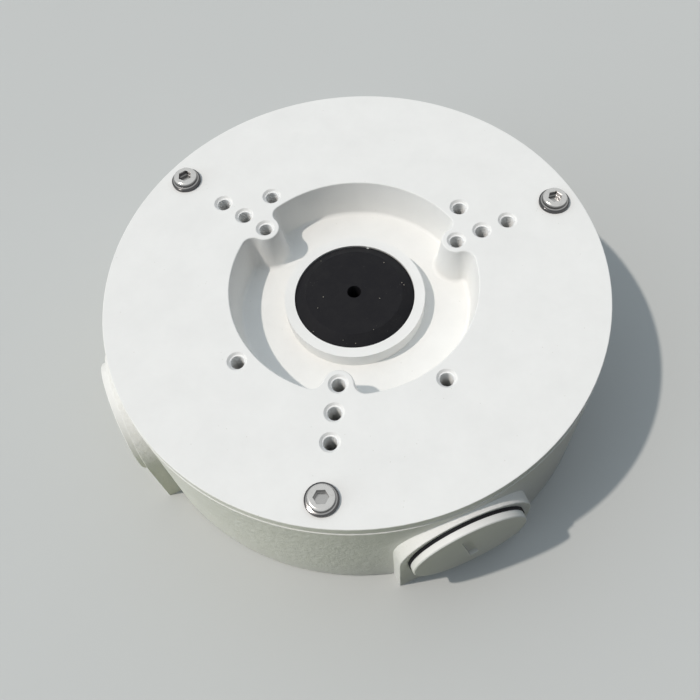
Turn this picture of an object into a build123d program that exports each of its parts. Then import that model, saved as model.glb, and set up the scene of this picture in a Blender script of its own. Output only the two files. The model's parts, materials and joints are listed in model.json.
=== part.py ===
from build123d import *
import os
from math import atan, cos, degrees, radians, sin, tan

# A round die-cast junction box for a security camera, lying on its wall side.
# The origin is the centre of the wall side, +Z points away from the wall to the cover,
# and every size is in millimetres.

# Overall sizes
cover_diameter = 134.0
box_height = 44.0
casting_draft = 0.4  # degrees, on the cup's wall

# Base housing: a drafted cup with a floor
wall_thickness = 3.9
wall_stand_out = 0.2  # the wall's top stands out from under the cover by this
floor_thickness = 3.0
foot_round = 0.8
floor_corner_round = 2.0
wall_top_chamfer = 0.2

# Cover plate
cover_thickness = 3.0
cover_gap = 0.2  # open line between the cover and the wall's top
cover_edge_round = 0.25
spigot_height = 2.5
spigot_thickness = 2.0
spigot_play = 0.3

# Groove and cord of the cover's seal, in the wall's top
seal_cord_diameter = 1.6
seal_squeeze = 0.1  # the cover presses the cord flat by this
seal_groove_play = 0.1
seal_lip = 1.0  # metal left outside the groove

# Cover screws, their pillars and the rings that keep them in the cover
screw_edge_distance = 6.7  # from a screw's axis to the cover's edge
screw_angles = (30, 150, 270)
pillar_radius = 5.0
tapped_hole_radius = 1.65
pillar_hole_depth = 17.0
screw_shank_radius = 2.0
screw_hole_play = 0.3
screw_length = 15.0
screw_flange_radius = 4.15
screw_flange_thickness = 0.85
screw_flange_round = 0.25
screw_flange_slope = 0.25  # its rise up to the head
screw_dome_radius = 3.35
screw_dome_round = 0.7
screw_head_height = 2.4
screw_socket_across_flats = 3.4
screw_socket_depth = 1.7
screw_socket_turns = (20, 40, 8)  # degrees, as each screw happens to stand
screw_tip_chamfer = 0.5
thread_play = 0.03
retainer_radius = 3.0
retainer_thickness = 1.2
retainer_play = 0.1

# Threaded holes for cameras, all alike: three lines of three and a square of four.
# Their places keep to these shares of the cover's radius.
line_hole_shares = (30.5 / 67, 38.2 / 67, 46.0 / 67)
square_hole_share = 53.0 / 67
camera_hole_radius = 2.0  # at the foot of the thread's ridges
camera_hole_depth = 9.5
camera_hole_mouth = 0.65  # width of the painted chamfer round it
hole_boss_wall = 2.0
hole_boss_cap = 1.5  # metal under each blind hole
rib_width = 3.0
rib_depth = 5.5
rib_play = 0.8  # between a rib's end and the pillar

# Recess in the cover, with a lobe round the innermost hole of each line
recess_beyond_holes = 2.7  # from the innermost holes' circle to the recess's mouth
recess_lean = 1.5  # the floor is this much narrower than the mouth, all round
recess_depth = 11.9
recess_mouth_round = 0.35
recess_wall = 2.6
recess_floor_thickness = 2.5
recess_floor_round = 1.1
lobe_radius = 3.9
lobe_blend = 3.0

# Collar in the recess and the rubber grommet that it holds
collar_radius = 19.2
collar_thickness = 2.8
collar_height = 4.8
collar_edge_round = 0.35
grommet_hole_radius = 13.6
grommet_edge_drop = 0.5  # the rubber's edge lies this far below the collar's top
grommet_play = 0.1
grommet_flank = 3.15  # width of the slope from the edge to the raised middle
grommet_rise = 2.1
grommet_cable_radius = 1.9
grommet_flange_overhang = 1.8
grommet_flange_thickness = 1.8

# Cable entry in the floor, closed by a grommet of its own
rear_hole_radius = 14.0
rear_recess_radius = 17.4
rear_recess_depth = 1.6
rear_rim_radius = 18.6
rear_rim_height = 1.2
rear_flange_sink = 0.3  # the grommet's flange stays clear of the wall by this

# Wall fixing holes in the floor
fixing_circle_radius = 41.0
fixing_count = 4
fixing_first_angle = 45
fixing_hole_radius = 2.6
fixing_pad_radius = 6.5
fixing_pad_height = 1.2

# Conduit entries: a flat boss outside, a threaded hub inside
conduit_angles = {"right": -60, "left": -150}
entry_rise = 1.4  # of its axis above the middle of the wall
entry_length = 11.0
boss_stand_out = 1.7  # beyond the cover's edge
boss_below_wall_top = 2.1
boss_top_rim = 1.3  # from the plug's head to the boss's edge, over it
boss_side_rim = 2.6  # and beside it
boss_edge_round = 0.25
hub_wall = 3.3
seal_seat_width = 1.5
seal_seat_depth = 0.9

# Blanking plugs: the left one is turned home, the right one stands out on its seal
plug_backed_out = {"right": 0.8, "left": 0.0}
plug_slot_tilt = {"right": 12, "left": -35}
plug_head_overhang = 2.9  # beyond the entry's bore
plug_head_thickness = 1.85
plug_head_chamfer = 0.25
plug_thread_play = 0.08
plug_stem_length = 9.5
plug_stem_chamfer = 1.0
plug_stem_wall = 3.0
plug_end_wall = 4.8  # from the head's face to the bottom of the hollow
plug_slot_length = 17.0
plug_slot_width = 2.4
plug_slot_depth = 1.0
plug_seal_play = 0.1
squeezed_seal_bulge = 0.3  # beyond the plug's head

# Earth terminal on the floor
earth_wall_distance = 15.15  # from its axis to the wall's foot inside
earth_boss_radius = 4.6
earth_boss_height = 6.0
earth_hole_depth = 7.5
earth_washer_radius = 4.4
earth_washer_thickness = 0.8
earth_washer_play = 0.15
earth_screw_length = 7.0
earth_head_radius = 3.9
earth_head_height = 2.6
earth_head_round = 1.2
earth_slot_length = 4.6
earth_slot_width = 0.9
earth_slot_depth = 1.3

# Places that follow from the sizes above
cover_radius = cover_diameter / 2
line_hole_radii = [share * cover_radius for share in line_hole_shares]
square_hole_spacing = square_hole_share * cover_radius
camera_hole_mouth_radius = camera_hole_radius + camera_hole_mouth
hole_boss_radius = camera_hole_radius + hole_boss_wall
recess_mouth_radius = line_hole_radii[0] + recess_beyond_holes
recess_floor_radius = recess_mouth_radius - recess_lean
cover_underside = box_height - cover_thickness
wall_top = cover_underside - cover_gap
wall_top_radius = cover_radius + wall_stand_out
wall_foot_radius = wall_top_radius + wall_top * tan(radians(casting_draft))
cavity_top_radius = wall_top_radius - wall_thickness
cavity_foot_radius = cavity_top_radius - (wall_top - floor_thickness) * tan(radians(casting_draft))
spigot_radius = cavity_top_radius - spigot_play
groove_floor = cover_underside - seal_cord_diameter + seal_squeeze
groove_outer_radius = wall_top_radius - seal_lip
groove_inner_radius = groove_outer_radius - seal_cord_diameter - seal_groove_play
screw_circle_radius = cover_radius - screw_edge_distance
screw_hole_radius = screw_shank_radius + screw_hole_play
screw_core_radius = tapped_hole_radius - thread_play
screw_tip = box_height - screw_length
retainer_foot = cover_underside - retainer_thickness
retainer_recess_floor = retainer_foot - retainer_play
hole_boss_bottom = box_height - camera_hole_depth - hole_boss_cap
rib_end_radius = screw_circle_radius - pillar_radius - rib_play
recess_floor = box_height - recess_depth
recess_underside = recess_floor - recess_floor_thickness
recess_draft = degrees(atan(recess_lean / recess_depth))
collar_bore_radius = collar_radius - collar_thickness
collar_top = recess_floor + collar_height
grommet_edge_height = collar_top - grommet_edge_drop
grommet_edge_radius = collar_bore_radius - grommet_play
grommet_top = grommet_edge_height + grommet_rise
grommet_neck_radius = grommet_hole_radius - grommet_play
grommet_foot = recess_underside - grommet_flange_thickness
rear_rim_top = floor_thickness + rear_rim_height
rear_neck_radius = rear_hole_radius - grommet_play
rear_grommet_top = rear_rim_top + grommet_flange_thickness
entry_height = wall_top / 2 + entry_rise
boss_arch_height = wall_top - boss_below_wall_top - entry_height
plug_head_radius = boss_arch_height - boss_top_rim
boss_half_width = plug_head_radius + boss_side_rim
entry_bore_radius = plug_head_radius - plug_head_overhang
hub_radius = entry_bore_radius + hub_wall
seal_seat_radius = entry_bore_radius + seal_seat_width
boss_face_distance = cover_radius + boss_stand_out
boss_root_distance = cavity_top_radius + wall_thickness / 4
hub_end_distance = boss_face_distance - entry_length
seal_seat_floor = boss_face_distance - seal_seat_depth
plug_stem_radius = entry_bore_radius - plug_thread_play
earth_place = (0, cavity_foot_radius - earth_wall_distance)
earth_boss_top = floor_thickness + earth_boss_height
earth_head_seat = earth_boss_top + earth_washer_thickness

os.makedirs("parts", exist_ok=True)


def entry_plane(angle, distance):
    """A plane across a conduit entry's axis, facing outwards, with its own Y along +Z."""
    out = Vector(cos(radians(angle)), sin(radians(angle)), 0)
    sideways = Vector(-sin(radians(angle)), cos(radians(angle)), 0)
    return Plane(origin=out * distance + Vector(0, 0, entry_height), x_dir=sideways, z_dir=out)


def spoke_points(radius):
    """The three points of a line pattern: one on each of the cover's spokes."""
    return [(radius * cos(radians(angle)), radius * sin(radians(angle))) for angle in screw_angles]


def square_points(spacing):
    """The four corners of a square about the box's axis."""
    return [(x, y) for x in (-spacing / 2, spacing / 2) for y in (-spacing / 2, spacing / 2)]


def save(builder, name):
    """Labels a finished piece and writes its STEP file."""
    builder.part.label = name
    export_step(builder.part, f"parts/{name}.step")


line_holes = [spoke_points(radius) for radius in line_hole_radii]
plate_hole_points = square_points(square_hole_spacing) + line_holes[1] + line_holes[2]
camera_hole_points = line_holes[0] + plate_hole_points

# Base housing: a cup turned about the axis, with its bosses, hubs, pillars and holes
with BuildPart() as base_housing:
    with BuildSketch(Plane.XZ) as cup_section:
        with BuildLine():
            Polyline(
                (0, 0),
                (wall_foot_radius, 0),
                (wall_top_radius, wall_top),
                (cavity_top_radius, wall_top),
                (cavity_foot_radius, floor_thickness),
                (0, floor_thickness),
                close=True,
            )
        make_face()
        foot_corner = cup_section.vertices().sort_by_distance((wall_foot_radius, 0))[0]
        fillet(foot_corner, radius=foot_round)
        top_corner = cup_section.vertices().sort_by_distance((wall_top_radius, wall_top))[0]
        chamfer(top_corner, length=wall_top_chamfer)
        floor_corner = cup_section.vertices().sort_by_distance((cavity_foot_radius, floor_thickness))[0]
        fillet(floor_corner, radius=floor_corner_round)
    revolve(axis=Axis.Z)

    # Each conduit entry has a flat boss under a low arch outside, and a round-topped hub inside
    for angle in conduit_angles.values():
        with BuildSketch(entry_plane(angle, boss_face_distance)):
            Ellipse(boss_half_width, boss_arch_height)
            with Locations((0, -entry_height / 2)):
                Rectangle(2 * boss_half_width, entry_height)
        extrude(amount=boss_root_distance - boss_face_distance)
        boss_face = base_housing.faces().sort_by_distance(entry_plane(angle, boss_face_distance).origin)[0]
        fillet(boss_face.edges().sort_by(Axis.Z)[1:], radius=boss_edge_round)
        hub_foot = entry_height - floor_thickness / 2
        with BuildSketch(entry_plane(angle, hub_end_distance)):
            Circle(hub_radius)
            with Locations((0, -hub_foot / 2)):
                Rectangle(2 * hub_radius, hub_foot)
        extrude(amount=boss_root_distance - hub_end_distance)

    # Pillars for the cover screws, standing above the wall's top by the cover's gap
    with BuildSketch(Plane.XY.offset(floor_thickness / 2)):
        with Locations(*spoke_points(screw_circle_radius)):
            Circle(pillar_radius)
    extrude(amount=cover_underside - floor_thickness / 2)

    # Groove for the seal's cord, in the wall's top
    with BuildSketch(Plane.XY.offset(groove_floor)):
        Circle(groove_outer_radius)
        Circle(groove_inner_radius, mode=Mode.SUBTRACT)
    extrude(amount=cover_underside - groove_floor, mode=Mode.SUBTRACT)

    # Tapped hole in each pillar, with a recess for the screw's retaining ring
    with BuildSketch(Plane.XY.offset(cover_underside)):
        with Locations(*spoke_points(screw_circle_radius)):
            Circle(tapped_hole_radius)
    extrude(amount=-pillar_hole_depth, mode=Mode.SUBTRACT)
    with BuildSketch(Plane.XY.offset(cover_underside)):
        with Locations(*spoke_points(screw_circle_radius)):
            Circle(retainer_radius + retainer_play)
    extrude(amount=retainer_recess_floor - cover_underside, mode=Mode.SUBTRACT)

    # Pads and holes for the wall fixings, and the rim and boss on the floor
    with BuildSketch(Plane.XY.offset(floor_thickness / 2)):
        with PolarLocations(fixing_circle_radius, fixing_count, start_angle=fixing_first_angle):
            Circle(fixing_pad_radius)
    extrude(amount=floor_thickness / 2 + fixing_pad_height)
    with BuildSketch(Plane.XY.offset(floor_thickness / 2)):
        Circle(rear_rim_radius)
    extrude(amount=floor_thickness / 2 + rear_rim_height)
    with BuildSketch(Plane.XY.offset(floor_thickness / 2)):
        with Locations(earth_place):
            Circle(earth_boss_radius)
    extrude(amount=earth_boss_top - floor_thickness / 2)
    with BuildSketch(Plane.XY):
        with PolarLocations(fixing_circle_radius, fixing_count, start_angle=fixing_first_angle):
            Circle(fixing_hole_radius)
    extrude(amount=floor_thickness + fixing_pad_height, mode=Mode.SUBTRACT)
    with BuildSketch(Plane.XY):
        Circle(rear_hole_radius)
    extrude(amount=rear_rim_top, mode=Mode.SUBTRACT)
    with BuildSketch(Plane.XY):
        Circle(rear_recess_radius)
    extrude(amount=rear_recess_depth, mode=Mode.SUBTRACT)
    with BuildSketch(Plane.XY.offset(earth_boss_top)):
        with Locations(earth_place):
            Circle(tapped_hole_radius)
    extrude(amount=-earth_hole_depth, mode=Mode.SUBTRACT)

    # Conduit bores, each with a seat for the plug's seal
    for angle in conduit_angles.values():
        with BuildSketch(entry_plane(angle, boss_face_distance)):
            Circle(entry_bore_radius)
        extrude(amount=hub_end_distance - boss_face_distance, mode=Mode.SUBTRACT)
        with BuildSketch(entry_plane(angle, boss_face_distance)):
            Circle(seal_seat_radius)
        extrude(amount=-seal_seat_depth, mode=Mode.SUBTRACT)

save(base_housing, "base_housing")

# The space of the cover's recess: a drafted pocket that keeps off three lobes
with BuildPart() as recess_space:
    with BuildSketch(Plane.XY.offset(box_height)) as recess_outline:
        Circle(recess_mouth_radius)
        with Locations(*spoke_points(line_hole_radii[0])):
            Circle(lobe_radius, mode=Mode.SUBTRACT)
        fillet(recess_outline.vertices(), radius=lobe_blend)
    extrude(amount=-recess_depth, taper=recess_draft)
    fillet(recess_space.edges().group_by(Axis.Z)[0], radius=recess_floor_round)

# Front cover: a plate with the recess hung under it, and a spigot inside the wall
with BuildPart() as front_cover:
    with BuildSketch(Plane.XY.offset(cover_underside)):
        Circle(cover_radius)
    extrude(amount=cover_thickness)
    fillet(front_cover.edges().group_by(Axis.Z)[-1], radius=cover_edge_round)

    # Cup under the plate that carries the recess
    with BuildSketch(Plane.XZ):
        with BuildLine():
            Polyline(
                (0, recess_underside),
                (recess_floor_radius + recess_wall, recess_underside),
                (recess_mouth_radius + recess_wall, cover_underside),
                (0, cover_underside),
                close=True,
            )
        make_face()
    revolve(axis=Axis.Z)

    # Blind bosses under the tapped holes, and a rib along each line of them
    with BuildSketch(Plane.XY.offset(hole_boss_bottom)):
        with Locations(*plate_hole_points):
            Circle(hole_boss_radius)
    extrude(amount=cover_underside - hole_boss_bottom)
    with BuildSketch(Plane.XY.offset(cover_underside - rib_depth)):
        for angle in screw_angles:
            with PolarLocations((recess_mouth_radius + rib_end_radius) / 2, 1, start_angle=angle):
                Rectangle(rib_end_radius - recess_mouth_radius, rib_width)
    extrude(amount=rib_depth)

    # Spigot that centres the cover in the wall, cut away round the pillars
    with BuildSketch(Plane.XY.offset(cover_underside - spigot_height)):
        Circle(spigot_radius)
        Circle(spigot_radius - spigot_thickness, mode=Mode.SUBTRACT)
        with Locations(*spoke_points(screw_circle_radius)):
            Circle(pillar_radius + spigot_play, mode=Mode.SUBTRACT)
    extrude(amount=spigot_height)

    # The recess, with the collar standing on its floor
    add(recess_space.part, mode=Mode.SUBTRACT)
    cover_face = front_cover.faces().sort_by(Axis.Z)[-1]
    fillet(cover_face.inner_wires()[0].edges(), radius=recess_mouth_round)
    with BuildSketch(Plane.XY.offset(recess_floor)):
        Circle(collar_radius)
        Circle(collar_bore_radius, mode=Mode.SUBTRACT)
    extrude(amount=collar_height)
    collar_face = front_cover.faces().sort_by_distance((0, 0, collar_top))[0]
    fillet(collar_face.edges(), radius=collar_edge_round)
    with BuildSketch(Plane.XY.offset(recess_underside)):
        Circle(grommet_hole_radius)
    extrude(amount=recess_floor_thickness, mode=Mode.SUBTRACT)

    # Tapped holes for cameras, and the clearance holes of the cover screws
    with Locations(*[(x, y, box_height) for x, y in camera_hole_points]):
        CounterSinkHole(camera_hole_radius, camera_hole_mouth_radius, camera_hole_depth, 90)
    with BuildSketch(Plane.XY.offset(cover_underside)):
        with Locations(*spoke_points(screw_circle_radius)):
            Circle(screw_hole_radius)
    extrude(amount=cover_thickness, mode=Mode.SUBTRACT)

save(front_cover, "front_cover")

# Cover seal: a rubber cord in the wall's groove, pressed flat by the cover
with BuildPart() as cover_seal:
    with BuildSketch(Plane.XZ):
        with Locations(((groove_outer_radius + groove_inner_radius) / 2, (groove_floor + cover_underside) / 2)):
            Circle(seal_cord_diameter / 2)
            Rectangle(seal_cord_diameter, cover_underside - groove_floor, mode=Mode.INTERSECT)
    revolve(axis=Axis.Z)

save(cover_seal, "cover_seal")

# Cable grommet: a rubber disc in the collar, raised in the middle, with a neck and a flange
# through the recess floor
with BuildPart() as cable_grommet:
    with BuildSketch(Plane.XZ):
        with BuildLine():
            Polyline(
                (grommet_cable_radius, grommet_foot),
                (grommet_neck_radius, grommet_foot),
                (grommet_neck_radius + grommet_flange_overhang, grommet_foot + grommet_flange_thickness / 2),
                (grommet_neck_radius + grommet_flange_overhang, recess_underside),
                (grommet_neck_radius, recess_underside),
                (grommet_neck_radius, recess_floor),
                (grommet_edge_radius, recess_floor),
                (grommet_edge_radius, grommet_edge_height),
                (grommet_edge_radius - grommet_flank, grommet_top),
                (grommet_cable_radius, grommet_top),
                close=True,
            )
        make_face()
    revolve(axis=Axis.Z)

save(cable_grommet, "cable_grommet")

# Rear grommet: the same idea in the floor, its outer flange sunk clear of the wall
with BuildPart() as rear_grommet:
    with BuildSketch(Plane.XZ):
        with BuildLine():
            Polyline(
                (grommet_cable_radius, rear_flange_sink),
                (rear_recess_radius - grommet_play, rear_flange_sink),
                (rear_recess_radius - grommet_play, rear_recess_depth),
                (rear_neck_radius, rear_recess_depth),
                (rear_neck_radius, rear_rim_top),
                (rear_neck_radius + grommet_flange_overhang, rear_rim_top),
                (rear_neck_radius + grommet_flange_overhang, rear_rim_top + grommet_flange_thickness / 2),
                (rear_neck_radius, rear_grommet_top),
                (grommet_cable_radius, rear_grommet_top),
                close=True,
            )
        make_face()
    revolve(axis=Axis.Z)

save(rear_grommet, "rear_grommet")

# Cover screws: flanged button heads with a hex socket, and the rings that hold them captive
for number, (x, y) in enumerate(spoke_points(screw_circle_radius), start=1):
    with BuildPart() as cover_screw:
        with BuildSketch(Plane.XZ.offset(-y)) as screw_section:
            with BuildLine():
                Polyline(
                    (x, box_height + screw_head_height),
                    (x, screw_tip),
                    (x + screw_core_radius - screw_tip_chamfer, screw_tip),
                    (x + screw_core_radius, screw_tip + screw_tip_chamfer),
                    (x + screw_core_radius, retainer_recess_floor),
                    (x + screw_shank_radius, retainer_recess_floor),
                    (x + screw_shank_radius, box_height),
                    (x + screw_flange_radius, box_height),
                    (x + screw_flange_radius, box_height + screw_flange_thickness),
                    (x + screw_dome_radius, box_height + screw_flange_thickness + screw_flange_slope),
                    (x + screw_dome_radius, box_height + screw_head_height),
                    close=True,
                )
            make_face()
            dome_corner = (x + screw_dome_radius, box_height + screw_head_height)
            fillet(screw_section.vertices().sort_by_distance(dome_corner)[0], radius=screw_dome_round)
            flange_corner = (x + screw_flange_radius, box_height + screw_flange_thickness)
            fillet(screw_section.vertices().sort_by_distance(flange_corner)[0], radius=screw_flange_round)
        revolve(axis=Axis((x, y, 0), (0, 0, 1)))
        with BuildSketch(Plane.XY.offset(box_height + screw_head_height)):
            with Locations(Location((x, y), screw_socket_turns[number - 1])):
                RegularPolygon(screw_socket_across_flats / 2, side_count=6, major_radius=False)
        extrude(amount=-screw_socket_depth, mode=Mode.SUBTRACT)
    save(cover_screw, f"cover_screw_{number}")

    with BuildPart() as screw_retainer:
        with BuildSketch(Plane.XY.offset(retainer_foot)):
            with Locations((x, y)):
                Circle(retainer_radius)
                Circle(screw_shank_radius + retainer_play, mode=Mode.SUBTRACT)
        extrude(amount=retainer_thickness)
    save(screw_retainer, f"screw_retainer_{number}")

# Blanking plugs and their seals, alike on both entries but turned in by different amounts
for side, angle in conduit_angles.items():
    head_rear = boss_face_distance + plug_backed_out[side]
    head_face = head_rear + plug_head_thickness
    stem_end = head_rear - plug_stem_length
    with BuildPart() as conduit_plug:
        with BuildSketch(entry_plane(angle, stem_end)):
            Circle(plug_stem_radius)
        extrude(amount=plug_stem_length)
        stem_face = conduit_plug.faces().sort_by_distance(entry_plane(angle, stem_end).origin)[0]
        chamfer(stem_face.edges(), length=plug_stem_chamfer)
        with BuildSketch(entry_plane(angle, head_rear)):
            Circle(plug_head_radius)
        extrude(amount=plug_head_thickness)
        front_face = conduit_plug.faces().sort_by_distance(entry_plane(angle, head_face).origin)[0]
        chamfer(front_face.edges(), length=plug_head_chamfer)
        with BuildSketch(entry_plane(angle, stem_end)):
            Circle(plug_stem_radius - plug_stem_wall)
        extrude(amount=head_face - plug_end_wall - stem_end, mode=Mode.SUBTRACT)
        with BuildSketch(entry_plane(angle, head_face)):
            Rectangle(plug_slot_width, plug_slot_length, rotation=plug_slot_tilt[side])
        extrude(amount=-plug_slot_depth, mode=Mode.SUBTRACT)
    save(conduit_plug, f"conduit_plug_{side}")

    # A seal fills its seat, and what sticks out of the seat spreads under a plug that isn't home
    with BuildPart() as plug_seal:
        with BuildSketch(entry_plane(angle, seal_seat_floor)):
            Circle(seal_seat_radius - plug_seal_play)
            Circle(plug_stem_radius + plug_seal_play, mode=Mode.SUBTRACT)
        extrude(amount=seal_seat_depth)
        if plug_backed_out[side] > 0:
            with BuildSketch(entry_plane(angle, boss_face_distance)):
                Circle(plug_head_radius + squeezed_seal_bulge)
                Circle(plug_stem_radius + plug_seal_play, mode=Mode.SUBTRACT)
            extrude(amount=plug_backed_out[side])
    save(plug_seal, f"plug_seal_{side}")

# Earth terminal: a washer and a cross-slotted pan-head screw on the floor's boss
with BuildPart() as earth_washer:
    with BuildSketch(Plane.XY.offset(earth_boss_top)):
        with Locations(earth_place):
            Circle(earth_washer_radius)
            Circle(screw_shank_radius + earth_washer_play, mode=Mode.SUBTRACT)
    extrude(amount=earth_washer_thickness)

save(earth_washer, "earth_washer")

with BuildPart() as earth_screw:
    with BuildSketch(Plane.XY.offset(earth_head_seat)):
        with Locations(earth_place):
            Circle(earth_head_radius)
    extrude(amount=earth_head_height)
    fillet(earth_screw.edges().group_by(Axis.Z)[-1], radius=earth_head_round)
    with BuildSketch(Plane.XY.offset(earth_boss_top)):
        with Locations(earth_place):
            Circle(screw_shank_radius)
    extrude(amount=earth_washer_thickness)
    with BuildSketch(Plane.XY.offset(earth_head_seat)):
        with Locations(earth_place):
            Circle(screw_core_radius)
    extrude(amount=-earth_screw_length)
    with BuildSketch(Plane.XY.offset(earth_head_seat + earth_head_height)):
        with Locations(earth_place):
            Rectangle(earth_slot_width, earth_slot_length)
            Rectangle(earth_slot_length, earth_slot_width)
    extrude(amount=-earth_slot_depth, mode=Mode.SUBTRACT)

save(earth_screw, "earth_screw")
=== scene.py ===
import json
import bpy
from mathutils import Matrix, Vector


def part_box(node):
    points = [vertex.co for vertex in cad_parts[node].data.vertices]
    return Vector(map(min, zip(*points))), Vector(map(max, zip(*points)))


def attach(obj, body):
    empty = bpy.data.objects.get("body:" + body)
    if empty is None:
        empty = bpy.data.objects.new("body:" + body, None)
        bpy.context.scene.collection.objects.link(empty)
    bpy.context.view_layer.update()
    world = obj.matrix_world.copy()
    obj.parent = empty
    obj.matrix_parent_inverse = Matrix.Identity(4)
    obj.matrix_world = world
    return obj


bl_info = {
    "name": "Camera junction box",
    "version": (1, 0, 0),
    "blender": (4, 5, 0),
    "location": "View3D > Sidebar > Junction Box",
    "description": "Finishes and fine pieces of a die-cast junction box for a security camera",
    "category": "Object",
}

from math import cos, pi, radians, sin

import bpy
from bpy.props import FloatProperty, FloatVectorProperty, IntProperty, PointerProperty
from mathutils import Vector

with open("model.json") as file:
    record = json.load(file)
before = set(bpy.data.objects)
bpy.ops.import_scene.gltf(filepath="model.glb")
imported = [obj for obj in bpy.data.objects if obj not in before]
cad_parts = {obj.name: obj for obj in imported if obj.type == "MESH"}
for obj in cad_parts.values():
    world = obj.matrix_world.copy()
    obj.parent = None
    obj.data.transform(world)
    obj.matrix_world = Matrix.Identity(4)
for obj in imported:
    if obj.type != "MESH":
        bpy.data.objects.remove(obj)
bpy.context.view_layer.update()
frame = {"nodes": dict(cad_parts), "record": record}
nodes = frame["nodes"]

# Each plug, with the angle at which its entry lies round the box, in degrees
PLUGS = {"conduit_plug_right": -60, "conduit_plug_left": -150}
SEALS = ("cover_seal", "plug_seal_right", "plug_seal_left")
GROMMETS = ("cable_grommet", "rear_grommet")
COVER_SCREWS = ("cover_screw_1", "cover_screw_2", "cover_screw_3")
EARTH_TERMINAL = ("earth_screw", "earth_washer")
RINGS = ("screw_retainer_1", "screw_retainer_2", "screw_retainer_3")

# The tapped holes for cameras, on three spokes and on a square, read from the frame's mounts
MM_PER_METRE = 1000
SPOKES = (30, 150, 270)
mounts = {mount["name"]: mount for mount in frame["record"]["mounts"]}
hole_places = []
for name in ("camera_circle_small", "camera_circle_middle", "camera_circle_large"):
    ring = mounts[name]["dims"]["pcd_mm"] / 2 / MM_PER_METRE
    hole_places += [(ring * cos(radians(spoke)), ring * sin(radians(spoke))) for spoke in SPOKES]
square = mounts["camera_square"]
half = square["dims"]["spacing_x_mm"] / 2 / MM_PER_METRE
hole_places += [(x, y) for x in (-half, half) for y in (-half, half)]
hole_radius = square["dims"]["hole_r_mm"] / MM_PER_METRE
thread_top = square["pos_m"][2]
plug_low, plug_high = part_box("conduit_plug_left")
entry_height = (plug_low.z + plug_high.z) / 2

# All lengths below are in metres

# Where the conduit threads start and end, measured out from the middle of the box, between which radii they
# show, and how high their relief stands
ENTRY_THREAD = {"start": 0.057, "end": 0.0678, "inner": 0.0, "outer": 0.0130}
ENTRY_RELIEF = 0.0008
PLUG_THREAD = {"start": 0.05, "end": 0.0682, "inner": 0.0115, "outer": 0.0128}
PLUG_RELIEF = 0.0009

# A cover screw's head, measured off its axis: where the button meets the flange, from where to where the
# flange's rim turns dark with painted shade and a painted dark reflection, how far the socket reaches, and a
# limit that lies beyond every head
BUTTON_END = 0.0034
RIM_START = 0.00345
RIM_END = 0.0038
SOCKET_REACH = 0.0021
HEAD_LIMIT = 0.006
# The painted shade in the crease round the button's foot is darkest within the first of these, and ends at
# the second
FOOT_CORE = 0.0001
FOOT_END = 0.00022
# How deep under the head's top the painted shade in the socket starts and is full, and where its floor gets
# less of it and looks paler
SHADE_START = 0.0001
SHADE_FULL = 0.0005
FLOOR_START = 0.0013
FLOOR_FULL = 0.0016

# The camera holes' threads: how far the ridge's middle is sunk into the hole's wall, the steps in a turn, the
# sides of the ridge, and the depths at which the paint is still whole and at which it is gone
RIDGE_SINK = 0.00002
STEPS_IN_TURN = 24
RIDGE_SIDES = 4
PAINT_WHOLE = 0.0025
PAINT_GONE = 0.007

# Grains of grit on the front grommet: the angle of each in degrees, and its share of the rubber's radius
GRIT = (
    (137, 0.885), (-82, 0.935), (17.5, 0.81), (15, 0.84), (-128, 0.96), (-60, 0.80),
    (83, 0.97), (55, 0.76), (-12, 0.45), (-147, 0.67), (196, 0.52), (-95, 0.9),
)
# A grain may be turned any way, by up to this angle in radians about each axis, and is drawn out or pressed
# flat between these limits
TURN_LIMIT = (6.28, 6.28, 6.28)
GRAIN_LEAST = (0.4, 0.4, 0.3)
GRAIN_MOST = (1.6, 1.0, 0.6)

# The floor reaches this far from the box to each side
FLOOR_REACH = 6.0


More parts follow.
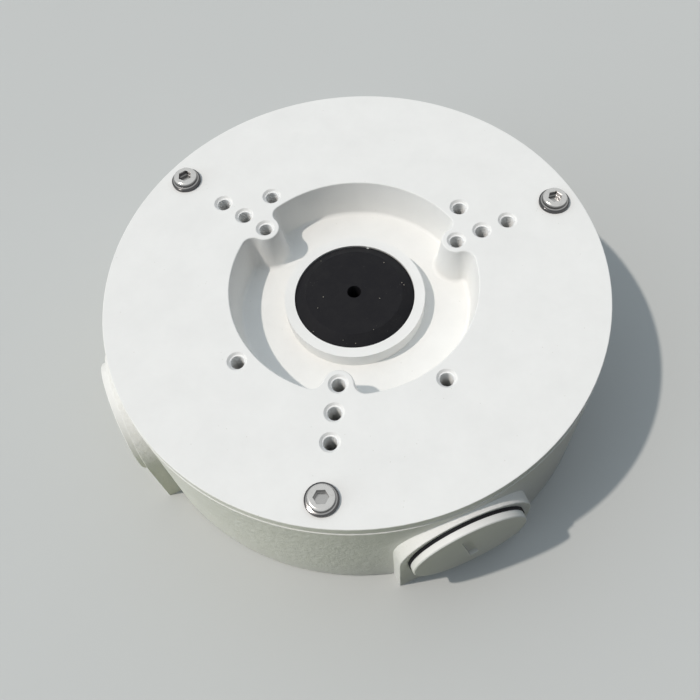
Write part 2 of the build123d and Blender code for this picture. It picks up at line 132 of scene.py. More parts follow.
class Finish:
    """A material with short ways to add and join its nodes."""

    def __init__(self, name):
        self.material = bpy.data.materials.new(name)
        self.material.use_nodes = True
        self.tree = self.material.node_tree
        self.shader = self.tree.nodes["Principled BSDF"]
        self.place = self.tree.nodes.new("ShaderNodeTexCoord").outputs["Object"]

    def add(self, kind, **settings):
        """Adds a node and sets its plain properties."""
        node = self.tree.nodes.new("ShaderNode" + kind)
        for key, value in settings.items():
            setattr(node, key, value)
        return node

    def put(self, socket, value):
        """Joins a socket to another one, or gives it a value."""
        if isinstance(value, bpy.types.NodeSocket):
            self.tree.links.new(value, socket)
        else:
            socket.default_value = value

    def set_shader(self, name, value):
        """Joins or sets one of the shader's own sockets."""
        self.put(self.shader.inputs[name], value)

    def sum(self, operation, *values):
        """One step of arithmetic."""
        node = self.add("Math", operation=operation)
        for socket, value in zip(node.inputs, values):
            self.put(socket, value)
        return node.outputs[0]

    def axes(self, vector=None):
        """The three parts of a vector, or of the place itself."""
        node = self.add("SeparateXYZ")
        self.put(node.inputs[0], vector or self.place)
        return node.outputs

    def noise(self, size, detail=2.0, rough=0.5):
        """Noise from 0 to 1 whose lumps are about size across, in metres."""
        node = self.add("TexNoise")
        self.put(node.inputs["Vector"], self.place)
        node.inputs["Scale"].default_value = 1 / size
        node.inputs["Detail"].default_value = detail
        node.inputs["Roughness"].default_value = rough
        return node.outputs["Fac"]

    def cells(self, size):
        """Distance to the middles of cells about size across, in metres."""
        node = self.add("TexVoronoi", feature="F1")
        self.put(node.inputs["Vector"], self.place)
        node.inputs["Scale"].default_value = 1 / size
        return node.outputs["Distance"]

    def band(self, value, low, high, to_low=0.0, to_high=1.0):
        """Stretches a value from one range to another and clips it there."""
        node = self.add("MapRange")
        self.put(node.inputs["Value"], value)
        node.inputs["From Min"].default_value = low
        node.inputs["From Max"].default_value = high
        node.inputs["To Min"].default_value = to_low
        node.inputs["To Max"].default_value = to_high
        return node.outputs["Result"]

    def between(self, value, low, high):
        """1 where a value lies between two limits, and 0 elsewhere."""
        return self.sum("MULTIPLY", self.sum("GREATER_THAN", value, low), self.sum("LESS_THAN", value, high))

    def facing(self, aim):
        """How far along that direction a place lies."""
        node = self.add("VectorMath", operation="DOT_PRODUCT")
        self.put(node.inputs[0], self.place)
        node.inputs[1].default_value = aim
        return node.outputs["Value"]

    def reach(self, middles):
        """How far a place is from the nearest of the upright axes through these middles."""
        flat = self.add("VectorMath", operation="MULTIPLY")
        self.put(flat.inputs[0], self.place)
        flat.inputs[1].default_value = (1, 1, 0)
        # Starts at a metre, which is farther off than any place on the box
        nearest = 1.0
        for x, y in middles:
            node = self.add("VectorMath", operation="DISTANCE")
            self.put(node.inputs[0], flat.outputs["Vector"])
            node.inputs[1].default_value = (x, y, 0)
            nearest = self.sum("MINIMUM", node.outputs["Value"], nearest)
        return nearest

    def tint(self, factor, colour, other):
        """A colour that goes over to another one with the factor."""
        node = self.add("Mix", data_type="RGBA")
        # The node's colour sockets share their names with others, so they go by number
        self.put(node.inputs[0], factor)
        self.put(node.inputs[6], colour)
        self.put(node.inputs[7], other)
        return node.outputs[2]

    def seen(self):
        """1 for rays that show the background: the camera's, mirrored ones and those through glass."""
        rays = self.add("LightPath").outputs
        mirrored = self.sum("MAXIMUM", rays["Is Glossy Ray"], rays["Is Transmission Ray"])
        return self.sum("MAXIMUM", rays["Is Camera Ray"], mirrored)

    def relief(self, height, distance, under=None):
        """A bump of that height in metres, on top of another one."""
        node = self.add("Bump")
        node.inputs["Distance"].default_value = distance
        self.put(node.inputs["Height"], height)
        if under:
            self.put(node.inputs["Normal"], under)
        return node.outputs["Normal"]


class Sky(Finish):
    """The world's nodes, joined in the same way, over the direction of sight."""

    def __init__(self, world):
        world.use_nodes = True
        self.tree = world.node_tree
        self.tree.nodes.clear()
        self.tree.nodes.new("ShaderNodeOutputWorld").name = "World Output"
        self.place = self.tree.nodes.new("ShaderNodeTexCoord").outputs["Generated"]


def shade(colour, factor=1.0):
    """A colour with its alpha, made darker or lighter by a factor."""
    return tuple(min(1.0, channel * factor) for channel in colour[:3]) + (1.0,)


def level(angle):
    """The level direction at that angle round the box."""
    return Vector((cos(angle), sin(angle), 0))


def dress(names, material):
    """Gives CAD nodes a finish."""
    for name in names:
        if not nodes[name].material_slots:
            raise RuntimeError(f"{name} has no slot for a material")
        for slot in nodes[name].material_slots:
            slot.material = material


def screw_thread(finish, angle, pitch, start, end, inner, outer):
    """How high a conduit thread stands, from 0 to 1, and 0 where there is no thread."""
    turned = finish.add("VectorRotate", rotation_type="Z_AXIS")
    finish.put(turned.inputs["Vector"], finish.place)
    turned.inputs["Angle"].default_value = radians(-angle)
    along, side, height = finish.axes(turned.outputs[0])
    up = finish.sum("SUBTRACT", height, entry_height)
    around = finish.sum("DIVIDE", finish.sum("ARCTAN2", up, side), 2 * pi)
    turns = finish.sum("SUBTRACT", finish.sum("DIVIDE", along, pitch), around)
    ridge = finish.sum("MULTIPLY", finish.sum("PINGPONG", turns, 0.5), 2.0)
    squares = finish.sum("ADD", finish.sum("MULTIPLY", up, up), finish.sum("MULTIPLY", side, side))
    inside = finish.between(finish.sum("SQRT", squares), inner, outer)
    return finish.sum("MULTIPLY", ridge, finish.sum("MULTIPLY", inside, finish.between(along, start, end)))


def powder_coat(name, coat, grain, depth):
    """Baked powder paint: a fine grain on a soft orange peel, with a trace of dust."""
    finish = Finish(name)
    fine = finish.noise(grain, detail=3.0, rough=0.6)
    peel = finish.noise(grain * 3.2, detail=1.0)
    dirt = finish.band(finish.noise(0.011, detail=4.0, rough=0.65), 0.35, 0.75)
    clean = finish.tint(dirt, shade(coat.colour), shade(coat.colour, 0.955))
    specks = finish.band(finish.cells(0.0021), 0.05, 0.085, to_low=0.30, to_high=0.0)
    seldom = finish.sum("GREATER_THAN", finish.noise(0.007, detail=0.0), 0.62)
    dusty = finish.sum("MULTIPLY", specks, seldom)
    finish.set_shader("Base Color", finish.tint(dusty, clean, shade(coat.dust)))
    smooth, matt = coat.roughness - 0.05, coat.roughness + 0.07
    finish.set_shader("Roughness", finish.band(fine, 0.3, 0.7, to_low=smooth, to_high=matt))
    finish.set_shader("IOR", 1.48)
    finish.set_shader("Specular IOR Level", 0.2)
    height = finish.sum("ADD", finish.sum("MULTIPLY", fine, 0.45), finish.sum("MULTIPLY", peel, 0.75))
    return finish, finish.relief(height, depth)


def rubber_skin(name, rubber, dusty):
    """Matt black rubber with its share of dust, and with the paint chip where there is dust."""
    finish = Finish(name)
    cloud = finish.noise(0.006, detail=5.0, rough=0.7)
    grains = finish.band(finish.cells(0.0009), 0.03, 0.10, to_low=0.9, to_high=0.0)
    patches = finish.band(finish.noise(0.0045), 0.52, 0.68)
    film = finish.band(cloud, 0.42, 0.8, to_high=0.06)
    loose = finish.sum("MAXIMUM", finish.sum("MULTIPLY", grains, patches), film)
    plain = finish.tint(finish.sum("MULTIPLY", loose, dusty), shade(rubber.colour), shade(rubber.dust))
    off_chip = finish.reach([rubber.chip[:2]])
    chip = finish.band(off_chip, 0.625 * rubber.chip_size, rubber.chip_size, to_low=dusty, to_high=0.0)
    chipped_paint = (0.75, 0.75, 0.73, 1.0)
    finish.set_shader("Base Color", finish.tint(chip, plain, chipped_paint))
    finish.set_shader("Roughness", finish.band(cloud, 0.3, 0.7, to_low=0.62, to_high=0.78))
    finish.set_shader("Specular IOR Level", 0.18)
    skin = finish.noise(0.00035)
    flow = finish.noise(0.004)
    height = finish.sum("ADD", finish.sum("MULTIPLY", skin, 0.5), flow)
    finish.set_shader("Normal", finish.relief(height, 0.00005))
    return finish.material


def head_shade(finish):
    """How much painted shade a cover screw's head gets: painted shade and a painted dark reflection at the
    rim, painted shade in the crease round the button and in the socket.
    """
    boxes = [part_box(name) for name in COVER_SCREWS]
    head_top = boxes[0][1].z
    off_axis = finish.reach([((low.x + high.x) / 2, (low.y + high.y) / 2) for low, high in boxes])
    rim = finish.band(off_axis, RIM_START, RIM_END, to_high=0.93)
    rim = finish.sum("MULTIPLY", rim, finish.sum("LESS_THAN", off_axis, HEAD_LIMIT))
    off_foot = finish.sum("ABSOLUTE", finish.sum("SUBTRACT", off_axis, BUTTON_END))
    foot = finish.band(off_foot, FOOT_CORE, FOOT_END, to_low=0.7, to_high=0.0)
    depth = finish.sum("SUBTRACT", head_top, finish.axes()[2])
    wall = finish.band(depth, SHADE_START, SHADE_FULL, to_high=0.9)
    floor = finish.band(depth, FLOOR_START, FLOOR_FULL, to_high=0.6)
    within = finish.sum("LESS_THAN", off_axis, SOCKET_REACH)
    socket = finish.sum("MULTIPLY", finish.sum("SUBTRACT", wall, floor), within)
    return finish.sum("MAXIMUM", rim, finish.sum("MAXIMUM", foot, socket))


def stainless_steel(fasteners):
    """Bright steel with smears, fine lines and pits, with painted shade and painted dark reflections on the
    cover screws' heads.
    """
    finish = Finish("stainless steel")
    smear = finish.noise(0.0016, detail=4.0, rough=0.6)
    pits = finish.band(finish.cells(0.0005), 0.02, 0.10, to_low=0.6, to_high=0.0)
    wear = finish.sum("MAXIMUM", pits, finish.band(smear, 0.55, 0.8, to_high=0.5))
    steel = finish.tint(wear, shade(fasteners.steel), shade(fasteners.worn))
    # Colour of the painted shade and painted dark reflection on the cover screws' heads
    dark = (0.05, 0.05, 0.055, 1.0)
    finish.set_shader("Base Color", finish.tint(head_shade(finish), steel, dark))
    finish.set_shader("Metallic", 1.0)
    finish.set_shader("Roughness", finish.band(smear, 0.3, 0.75, to_low=0.12, to_high=0.28))
    lines = finish.noise(0.00012)
    finish.set_shader("Normal", finish.relief(lines, 0.000006))
    return finish.material


def natural_nylon(fasteners):
    """Cloudy, slightly translucent nylon."""
    finish = Finish("natural nylon")
    cloud = finish.noise(0.002)
    finish.set_shader("Base Color", finish.tint(cloud, shade(fasteners.nylon), shade(fasteners.cloud)))
    finish.set_shader("Subsurface Weight", 0.2)
    finish.set_shader("Subsurface Scale", 0.001)
    finish.set_shader("Roughness", finish.band(cloud, 0.3, 0.7, to_low=0.38, to_high=0.5))
    finish.set_shader("Normal", finish.relief(cloud, 0.00002))
    return finish.material


def tapped_metal(threads):
    """Paint at the mouth of a tapped hole, going over to bare cast metal down its thread."""
    finish = Finish("tapped metal")
    smear = finish.noise(0.0009, detail=3.0)
    bare = finish.band(finish.axes()[2], thread_top - PAINT_WHOLE, thread_top - PAINT_GONE)
    metal = finish.tint(smear, shade(threads.metal), shade(threads.smear))
    finish.set_shader("Base Color", finish.tint(bare, shade(threads.paint), metal))
    finish.set_shader("Metallic", finish.sum("MULTIPLY", bare, 0.5))
    finish.set_shader("Roughness", finish.band(smear, 0.3, 0.7, to_low=0.3, to_high=0.45))
    finish.set_shader("Normal", finish.relief(finish.noise(0.0002), 0.00001))
    return finish.material


def pale_grit():
    """Dry grit in two pale browns."""
    finish = Finish("pale grit")
    pale, brown = (0.62, 0.58, 0.48, 1.0), (0.33, 0.30, 0.24, 1.0)
    finish.set_shader("Base Color", finish.tint(finish.noise(0.0008), pale, brown))
    finish.set_shader("Roughness", finish.band(finish.noise(0.0003), 0.3, 0.7, to_low=0.7, to_high=0.95))
    finish.set_shader("Normal", finish.relief(finish.noise(0.0001), 0.00002))
    return finish.material


class CoatSettings(bpy.types.PropertyGroup):
    colour: FloatVectorProperty(name="Paint", description="Colour of the powder paint",
        subtype="COLOR", size=3, min=0, max=1, default=(0.85, 0.845, 0.825))
    dust: FloatVectorProperty(name="Dust", description="Colour of the dust specks on the paint",
        subtype="COLOR", size=3, min=0, max=1, default=(0.46, 0.44, 0.37))
    roughness: FloatProperty(name="Roughness", description="How matt the paint is",
        default=0.5, min=0.2, max=0.9)
    wall_grain: FloatProperty(name="Wall grain", description="Size of the wrinkles on the housing",
        subtype="DISTANCE", unit="LENGTH", default=0.0006, min=0.0002, max=0.005)
    wall_depth: FloatProperty(name="Wall relief", description="Height of the wrinkles on the housing",
        subtype="DISTANCE", unit="LENGTH", default=0.00026, min=0, max=0.001)
    cover_grain: FloatProperty(name="Cover grain", description="Size of the grain on the cover and the plugs",
        subtype="DISTANCE", unit="LENGTH", default=0.0008, min=0.0002, max=0.005)
    cover_depth: FloatProperty(name="Cover relief",
        description="Height of the grain on the cover and the plugs",
        subtype="DISTANCE", unit="LENGTH", default=0.00004, min=0, max=0.001)


class RubberSettings(bpy.types.PropertyGroup):
    colour: FloatVectorProperty(name="Rubber", description="Colour of the rubber",
        subtype="COLOR", size=3, min=0, max=1, default=(0.0075, 0.0075, 0.0100))
    dust: FloatVectorProperty(name="Dust", description="Colour of the dust on the rubber",
        subtype="COLOR", size=3, min=0, max=1, default=(0.16, 0.155, 0.14))
    plateau: FloatProperty(name="Middle", description="Radius of the front grommet's raised middle",
        subtype="DISTANCE", unit="LENGTH", default=0.01315, min=0.005, max=0.02)
    rise: FloatProperty(name="Rise", description="Height of the raised middle over the rubber's edge",
        subtype="DISTANCE", unit="LENGTH", default=0.0021, min=0, max=0.01)
    chip: FloatVectorProperty(name="Chip", description="Place of the paint chip on the front grommet's edge",
        subtype="TRANSLATION", size=3, default=(0.0019, 0.01595, 0))
    chip_size: FloatProperty(name="Chip size", description="Radius of the paint chip",
        subtype="DISTANCE", unit="LENGTH", default=0.0004, min=0.00005, max=0.002)
    grit_size: FloatProperty(name="Grit size", description="Size of a grain of grit",
        subtype="DISTANCE", unit="LENGTH", default=0.0002, min=0.00002, max=0.001)


class FastenerSettings(bpy.types.PropertyGroup):
    steel: FloatVectorProperty(name="Steel", description="Colour of the bright steel",
        subtype="COLOR", size=3, min=0, max=1, default=(0.67, 0.665, 0.66))
    worn: FloatVectorProperty(name="Worn steel", description="Colour of the steel in its pits and smears",
        subtype="COLOR", size=3, min=0, max=1, default=(0.40, 0.395, 0.39))
    nylon: FloatVectorProperty(name="Nylon", description="Colour of the retaining rings",
        subtype="COLOR", size=3, min=0, max=1, default=(0.78, 0.77, 0.72))
    cloud: FloatVectorProperty(name="Cloudy nylon", description="Colour of the rings where they are cloudy",
        subtype="COLOR", size=3, min=0, max=1, default=(0.70, 0.69, 0.63))


class ThreadSettings(bpy.types.PropertyGroup):
    pitch: FloatProperty(name="Pitch", description="Pitch of the thread in the camera holes",
        subtype="DISTANCE", unit="LENGTH", default=0.0007, min=0.0003, max=0.002)
    ridge: FloatProperty(name="Ridge", description="How far the thread stands into the hole",
        subtype="DISTANCE", unit="LENGTH", default=0.00035, min=0.00005, max=0.0006)
    turns: IntProperty(name="Turns", description="Turns of thread in each camera hole",
        default=12, min=1, max=20)
    conduit_pitch: FloatProperty(name="Conduit pitch", description="Pitch of the plugs' thread",
        subtype="DISTANCE", unit="LENGTH", default=0.001814, min=0.0005, max=0.004)
    paint: FloatVectorProperty(name="Painted thread", description="Colour of the thread at a hole's mouth",
        subtype="COLOR", size=3, min=0, max=1, default=(0.88, 0.88, 0.87))
    metal: FloatVectorProperty(name="Bare thread", description="Colour of the bare metal further down",
        subtype="COLOR", size=3, min=0, max=1, default=(0.74, 0.75, 0.74))
    smear: FloatVectorProperty(name="Smeared thread", description="Colour of the bare metal in its smears",
        subtype="COLOR", size=3, min=0, max=1, default=(0.60, 0.61, 0.60))


class StageSettings(bpy.types.PropertyGroup):
    floor: FloatVectorProperty(name="Floor", description="Colour of the floor",
        subtype="COLOR", size=3, min=0, max=1, default=(0.55, 0.56, 0.55))
    # Colours that the floor throws back but doesn't show the camera: painted light on the lamp's side, and a
    # painted shadow on the far side
    ground: FloatVectorProperty(name="Ground",
        description="Colour that the floor throws back on the lamp's side",
        subtype="COLOR", size=3, min=0, max=1, default=(0.295, 0.315, 0.15))
    shaded: FloatVectorProperty(name="Shaded ground",
        description="Colour that the floor throws back on the far side",
        subtype="COLOR", size=3, min=0, max=1, default=(0.01, 0.015, 0.005))
    backdrop: FloatVectorProperty(name="Backdrop", description="Colour of the background over the floor",
        subtype="COLOR", size=3, min=0, max=1, default=(0.82, 0.83, 0.82))
    key: FloatProperty(name="Key light", description="Strength of the lamp", default=1.85, min=0, max=10)
    key_colour: FloatVectorProperty(name="Key light's colour", description="Colour of the lamp",
        subtype="COLOR", size=3, min=0, max=1, default=(1.0, 0.925, 0.85))
    key_from: FloatVectorProperty(name="Key light's side", description="Direction that the lamp shines from",
        subtype="DIRECTION", size=3, default=(-0.486, -0.145, 0.862))
    softness: FloatProperty(name="Softness", description="Angle that the lamp fills, seen from the box",
        subtype="ANGLE", default=radians(1.6), min=0, max=radians(90))
    fill: FloatProperty(name="Fill light", description="Strength of the light from above",
        default=0.72, min=0, max=2)
    fill_colour: FloatVectorProperty(name="Fill light's colour", description="Colour of the light from above",
        subtype="COLOR", size=3, min=0, max=2, default=(0.89, 1.0, 1.09))
    side: FloatProperty(name="Side light",
        description="Strength of the low light on the lit side, against that from above",
        default=2.4, min=0, max=4)
    lit_side: FloatProperty(name="Lit side",
        description="Side on which the low light and the ground are brighter",
        subtype="ANGLE", default=radians(-137), min=-pi, max=pi)
    flag: FloatProperty(name="Flag",
        description="Share of the fill that passes a dark flag behind the camera",
        default=0.3, min=0, max=1)
    screen: FloatProperty(name="Screen", description="Side on which a screen holds the low light back",
        subtype="ANGLE", default=radians(-58), min=-pi, max=pi)
    sheer: FloatProperty(name="Screen's share", description="Share of the light that passes the screen",
        default=0.08, min=0, max=1)
    eye: FloatVectorProperty(name="Camera's place", description="Where the camera stands",
        subtype="TRANSLATION", size=3, default=(0.023762, -0.113797, 0.220621))
    turn: FloatVectorProperty(name="Camera's turn", description="How the camera is turned",
        subtype="EULER", size=3, default=(radians(28.225), radians(3.445), radians(6.935)))
    lens: FloatProperty(name="Lens", description="Focal length on a 36 mm sensor, in millimetres",
        default=40.857, min=10, max=200)


class JUNCTIONBOX_OT_coat_castings(bpy.types.Operator):
    """Paints the housing, the cover and the plugs"""

    bl_idname = "junctionbox.coat_castings"
    bl_label = "Coat the castings"

    def execute(self, context):
        coat = context.scene.junction_coat
        pitch = context.scene.junction_threads.conduit_pitch
        finish, relief = powder_coat("wrinkled powder coat", coat, coat.wall_grain, coat.wall_depth)
        for angle in PLUGS.values():
            thread = screw_thread(finish, angle, pitch, **ENTRY_THREAD)
            relief = finish.relief(thread, ENTRY_RELIEF, under=relief)
        finish.set_shader("Normal", relief)
        dress(["base_housing"], finish.material)

        finish, relief = powder_coat("fine powder coat", coat, coat.cover_grain, coat.cover_depth)
        finish.set_shader("Normal", relief)
        dress(["front_cover"], finish.material)

        for plug, angle in PLUGS.items():
            name = f"powder coat of {plug.replace('_', ' ')}"
            finish, relief = powder_coat(name, coat, coat.cover_grain, coat.cover_depth)
            thread = screw_thread(finish, angle, pitch, **PLUG_THREAD)
            finish.set_shader("Normal", finish.relief(thread, PLUG_RELIEF, under=relief))
            dress([plug], finish.material)
        return {"FINISHED"}


class JUNCTIONBOX_OT_finish_rubber(bpy.types.Operator):
    """Gives the grommets and the seals their rubber"""

    bl_idname = "junctionbox.finish_rubber"
    bl_label = "Finish the rubber"

    def execute(self, context):
        rubber = context.scene.junction_rubber
        dress(GROMMETS, rubber_skin("dusty rubber", rubber, dusty=1.0))
        dress(SEALS, rubber_skin("clean rubber", rubber, dusty=0.25))
        return {"FINISHED"}


class JUNCTIONBOX_OT_finish_fasteners(bpy.types.Operator):
    """Gives the screws, the earth terminal and the retaining rings their finish"""

    bl_idname = "junctionbox.finish_fasteners"
    bl_label = "Finish the fasteners"

    def execute(self, context):
        fasteners = context.scene.junction_fasteners
        dress(COVER_SCREWS + EARTH_TERMINAL, stainless_steel(fasteners))
        dress(RINGS, natural_nylon(fasteners))
        return {"FINISHED"}


def point_cloud(name, points):
    """An object whose mesh is a few loose points."""
    mesh = bpy.data.meshes.new(name)
    mesh.from_pydata(points, [], [])
    piece = bpy.data.objects.new(name, mesh)
    bpy.context.scene.collection.objects.link(piece)
    return piece


def new_tree(name, sizes):
    """A geometry tree with a geometry going through it and named sizes."""
    tree = bpy.data.node_groups.new(name, "GeometryNodeTree")
    tree.interface.new_socket("Geometry", in_out="INPUT", socket_type="NodeSocketGeometry")
    for size in sizes:
        tree.interface.new_socket(size, in_out="INPUT", socket_type="NodeSocketFloat")
    tree.interface.new_socket("Geometry", in_out="OUTPUT", socket_type="NodeSocketGeometry")
    return tree, tree.nodes.new("NodeGroupInput"), tree.nodes.new("NodeGroupOutput")


def spread_copies(tree, start, shape):
    """Puts a copy of a shape on each point that comes into a tree."""
    spread = tree.nodes.new("GeometryNodeInstanceOnPoints")
    tree.links.new(start.outputs["Geometry"], spread.inputs["Points"])
    tree.links.new(shape, spread.inputs["Instance"])
    return spread


def random_vector(tree, low, high, seed):
    """A vector of its own for each copy, between two limits."""
    node = tree.nodes.new("FunctionNodeRandomValue")
    node.data_type = "FLOAT_VECTOR"
    node.inputs[0].default_value = low
    node.inputs[1].default_value = high
    node.inputs["Seed"].default_value = seed
    return node.outputs[0]


def end_tree(tree, spread, end, material):
    """Makes the copies real, gives them their material and hands them out of a tree."""
    real = tree.nodes.new("GeometryNodeRealizeInstances")
    tree.links.new(spread.outputs[0], real.inputs[0])
    paint = tree.nodes.new("GeometryNodeSetMaterial")
    paint.inputs["Material"].default_value = material
    tree.links.new(real.outputs[0], paint.inputs["Geometry"])
    tree.links.new(paint.outputs[0], end.inputs[0])


def bake_tree(piece, tree, values):
    """Runs a geometry tree on a piece with these sizes, and keeps the result as a plain mesh."""
    modifier = piece.modifiers.new("shape", "NODES")
    modifier.node_group = tree
    for item in tree.interface.items_tree:
        if item.in_out == "INPUT" and item.name in values:
            modifier[item.identifier] = values[item.name]
    bpy.context.view_layer.update()
    graph = bpy.context.evaluated_depsgraph_get()
    mesh = bpy.data.meshes.new_from_object(piece.evaluated_get(graph))
    if not mesh.polygons:
        raise RuntimeError(f"The tree {tree.name} made no faces")
    piece.modifiers.clear()
    piece.data = mesh


def thread_tree(material):
    """A tree that winds a thread up from each point."""
    tree, start, end = new_tree("thread", ("Radius", "Pitch", "Ridge", "Turns"))
    link = tree.links.new
    spiral = tree.nodes.new("GeometryNodeCurveSpiral")
    spiral.inputs["Resolution"].default_value = STEPS_IN_TURN
    link(start.outputs["Turns"], spiral.inputs["Rotations"])
    link(start.outputs["Radius"], spiral.inputs["Start Radius"])
    link(start.outputs["Radius"], spiral.inputs["End Radius"])
    height = tree.nodes.new("ShaderNodeMath")
    height.operation = "MULTIPLY"
    link(start.outputs["Turns"], height.inputs[0])
    link(start.outputs["Pitch"], height.inputs[1])
    link(height.outputs[0], spiral.inputs["Height"])
    upright = tree.nodes.new("GeometryNodeSetCurveNormal")
    upright.mode = "Z_UP"
    link(spiral.outputs[0], upright.inputs["Curve"])
    section = tree.nodes.new("GeometryNodeCurvePrimitiveCircle")
    section.inputs["Resolution"].default_value = RIDGE_SIDES
    link(start.outputs["Ridge"], section.inputs["Radius"])
    sweep = tree.nodes.new("GeometryNodeCurveToMesh")
    sweep.inputs["Fill Caps"].default_value = True
    link(upright.outputs[0], sweep.inputs["Curve"])
    link(section.outputs["Curve"], sweep.inputs["Profile Curve"])
    end_tree(tree, spread_copies(tree, start, sweep.outputs[0]), end, material)
    return tree


class JUNCTIONBOX_OT_cut_threads(bpy.types.Operator):
    """Winds a thread down each camera hole"""

    bl_idname = "junctionbox.cut_threads"
    bl_label = "Cut the camera threads"

    def execute(self, context):
        threads = context.scene.junction_threads
        foot = thread_top - threads.turns * threads.pitch
        piece = point_cloud("camera_hole_threads", [(x, y, foot) for x, y in hole_places])
        sizes = {"Radius": hole_radius + RIDGE_SINK, "Pitch": threads.pitch, "Ridge": threads.ridge,
            "Turns": float(threads.turns)}
        bake_tree(piece, thread_tree(tapped_metal(threads)), sizes)
        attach(piece, "box")
        return {"FINISHED"}


def grit_tree(material):
    """A tree that lays a small rough grain on each point."""
    tree, start, end = new_tree("grit", ("Size",))
    grain = tree.nodes.new("GeometryNodeMeshIcoSphere")
    grain.inputs["Subdivisions"].default_value = 1
    tree.links.new(start.outputs["Size"], grain.inputs["Radius"])
    spread = spread_copies(tree, start, grain.outputs[0])
    tree.links.new(random_vector(tree, (0, 0, 0), TURN_LIMIT, seed=5), spread.inputs["Rotation"])
    tree.links.new(random_vector(tree, GRAIN_LEAST, GRAIN_MOST, seed=8), spread.inputs["Scale"])
    end_tree(tree, spread, end, material)
    return tree


class JUNCTIONBOX_OT_scatter_grit(bpy.types.Operator):
    """Scatters a little grit on the front grommet"""

    bl_idname = "junctionbox.scatter_grit"
    bl_label = "Scatter the grit"

    def execute(self, context):
        rubber = context.scene.junction_rubber
        low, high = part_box("cable_grommet")
        edge = (high.x - low.x) / 2
        places = []
        for angle, share in GRIT:
            radius = share * edge
            drop = max(0.0, (radius - rubber.plateau) / (edge - rubber.plateau)) * rubber.rise
            places.append((radius * cos(radians(angle)), radius * sin(radians(angle)), high.z - drop))
        piece = point_cloud("grommet_grit", places)
        bake_tree(piece, grit_tree(pale_grit()), {"Size": rubber.grit_size})
        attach(piece, "box")
        return {"FINISHED"}


def lay_floor(stage):
    """A plain pale floor that throws back more light on the lamp's side: its colour for light that bounces
    off it holds painted light there and a painted shadow on the far side.
    """
    mesh = bpy.data.meshes.new("floor")
    corners = [(x * FLOOR_REACH, y * FLOOR_REACH, 0) for x, y in ((-1, -1), (1, -1), (1, 1), (-1, 1))]
    mesh.from_pydata(corners, [], [(0, 1, 2, 3)])
    floor = bpy.data.objects.new("floor", mesh)
    bpy.context.scene.collection.objects.link(floor)
    finish = Finish("pale floor")
    haze = finish.noise(0.05, detail=3.0)
    pale = finish.tint(haze, shade(stage.floor), shade(stage.floor, 0.98))
    # Painted light on the lamp's side of the floor and a painted shadow on the far side, in the colour that
    # light bounces off
    near_lamp = finish.band(finish.facing(level(stage.lit_side)), 0.02, 0.08)
    painted_bounce = finish.tint(near_lamp, shade(stage.shaded), shade(stage.ground))
    finish.set_shader("Base Color", finish.tint(finish.seen(), painted_bounce, pale))
    finish.set_shader("Roughness", 0.9)
    mesh.materials.append(finish.material)


def hang_lamp(stage):
    """The key light, a small soft sun."""
    lamp = bpy.data.lights.new("key lamp", "SUN")
    lamp.energy = stage.key
    lamp.angle = stage.softness
    lamp.color = stage.key_colour
    key = bpy.data.objects.new("key lamp", lamp)
    key.rotation_mode = "QUATERNION"
    key.rotation_quaternion = Vector(stage.key_from).to_track_quat("Z", "Y")
    bpy.context.scene.collection.objects.link(key)


def light_studio(stage):
    """Light from above and from low on the lit side, less of it past the flag and the screen."""
    world = bpy.data.worlds.new("studio")
    sky = Sky(world)
    up = sky.axes()[2]
    # The limits are heights on a dome of radius 1, or how squarely a place on it faces a direction
    above = sky.band(up, 0.15, 0.55)
    beside = sky.sum("POWER", sky.sum("MAXIMUM", sky.facing(level(stage.lit_side)), 0.0), 2.0)
    glow = sky.sum("MAXIMUM", above, sky.sum("MULTIPLY", beside, stage.side))
    behind = sky.facing(Vector(stage.eye).normalized())
    flag = sky.band(behind, 0.86, 0.97, to_low=1.0, to_high=stage.flag)
    front = sky.band(sky.facing(level(stage.screen)), 0.1, 0.5)
    screen = sky.sum("MULTIPLY", front, sky.band(up, 0.55, 0.85, to_low=1.0, to_high=0.0))
    passed = sky.sum("MULTIPLY", flag, sky.band(screen, 0.0, 1.0, to_low=1.0, to_high=stage.sheer))
    fill = sky.add("Background")
    sky.put(fill.inputs["Color"], (*stage.fill_colour, 1.0))
    sky.put(fill.inputs["Strength"], sky.sum("MULTIPLY", sky.sum("MULTIPLY", glow, passed), stage.fill))
    backdrop = sky.add("Background")
    sky.put(backdrop.inputs["Color"], shade(stage.backdrop))
    mix = sky.add("MixShader")
    sky.put(mix.inputs[0], sky.seen())
    sky.put(mix.inputs[1], fill.outputs[0])
    sky.put(mix.inputs[2], backdrop.outputs[0])
    sky.put(sky.tree.nodes["World Output"].inputs["Surface"], mix.outputs[0])
    bpy.context.scene.world = world


def stand_camera(stage):
    """The camera, at the photo's angle."""
    camera = bpy.data.objects.new("camera", bpy.data.cameras.new("camera"))
    camera.data.lens = stage.lens
    camera.data.sensor_width = 36.0
    camera.data.clip_start = 0.01
    camera.data.clip_end = 50.0
    camera.location = stage.eye
    camera.rotation_euler = stage.turn
    bpy.context.scene.collection.objects.link(camera)
    bpy.context.scene.camera = camera


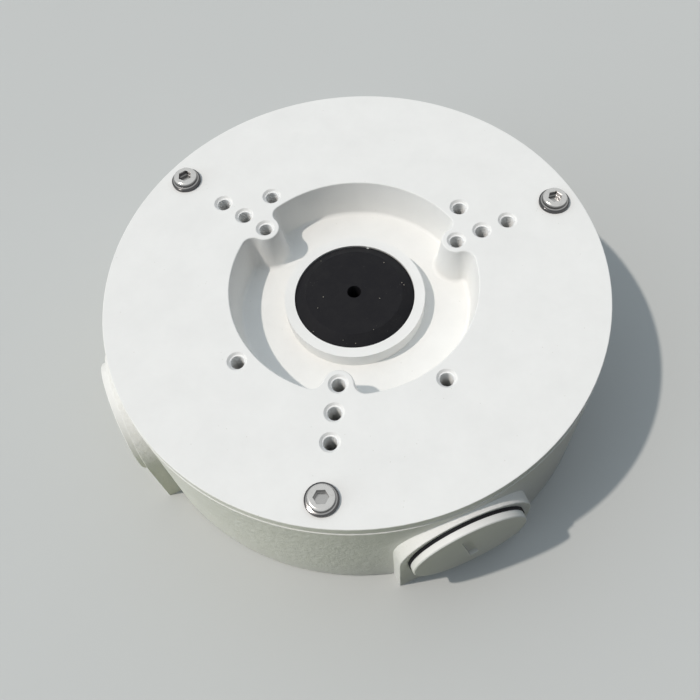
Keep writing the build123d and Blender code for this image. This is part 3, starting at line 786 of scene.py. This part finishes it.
class JUNCTIONBOX_OT_set_stage(bpy.types.Operator):
    """Lays the floor, hangs the lamp and stands the camera at the photo's angle"""

    bl_idname = "junctionbox.set_stage"
    bl_label = "Set the stage"

    def execute(self, context):
        stage = context.scene.junction_stage
        lay_floor(stage)
        hang_lamp(stage)
        light_studio(stage)
        stand_camera(stage)
        context.scene.view_settings.view_transform = "Standard"
        return {"FINISHED"}


class JUNCTIONBOX_PT_panel(bpy.types.Panel):
    """The box's pieces and finishes, in the order in which they're made"""

    bl_idname = "JUNCTIONBOX_PT_panel"
    bl_label = "Junction Box"
    bl_space_type = "VIEW_3D"
    bl_region_type = "UI"
    bl_category = "Junction Box"

    def draw(self, context):
        for group in SETTINGS:
            box = self.layout.box()
            settings = getattr(context.scene, group)
            for key in settings.__annotations__:
                box.prop(settings, key)
        for operator in OPERATORS:
            self.layout.operator(operator.bl_idname)


SETTINGS = {
    "junction_coat": CoatSettings,
    "junction_rubber": RubberSettings,
    "junction_fasteners": FastenerSettings,
    "junction_threads": ThreadSettings,
    "junction_stage": StageSettings,
}
OPERATORS = (
    JUNCTIONBOX_OT_coat_castings,
    JUNCTIONBOX_OT_finish_rubber,
    JUNCTIONBOX_OT_finish_fasteners,
    JUNCTIONBOX_OT_cut_threads,
    JUNCTIONBOX_OT_scatter_grit,
    JUNCTIONBOX_OT_set_stage,
)


def register():
    for name, group in SETTINGS.items():
        bpy.utils.register_class(group)
        setattr(bpy.types.Scene, name, PointerProperty(type=group))
    for operator in OPERATORS:
        bpy.utils.register_class(operator)
    bpy.utils.register_class(JUNCTIONBOX_PT_panel)


def unregister():
    bpy.utils.unregister_class(JUNCTIONBOX_PT_panel)
    for operator in reversed(OPERATORS):
        bpy.utils.unregister_class(operator)
    for name, group in SETTINGS.items():
        delattr(bpy.types.Scene, name)
        bpy.utils.unregister_class(group)


def main():
    register()
    bpy.ops.junctionbox.coat_castings()
    bpy.ops.junctionbox.finish_rubber()
    bpy.ops.junctionbox.finish_fasteners()
    bpy.ops.junctionbox.cut_threads()
    bpy.ops.junctionbox.scatter_grit()
    bpy.ops.junctionbox.set_stage()


if __name__ == "__main__":
    main()
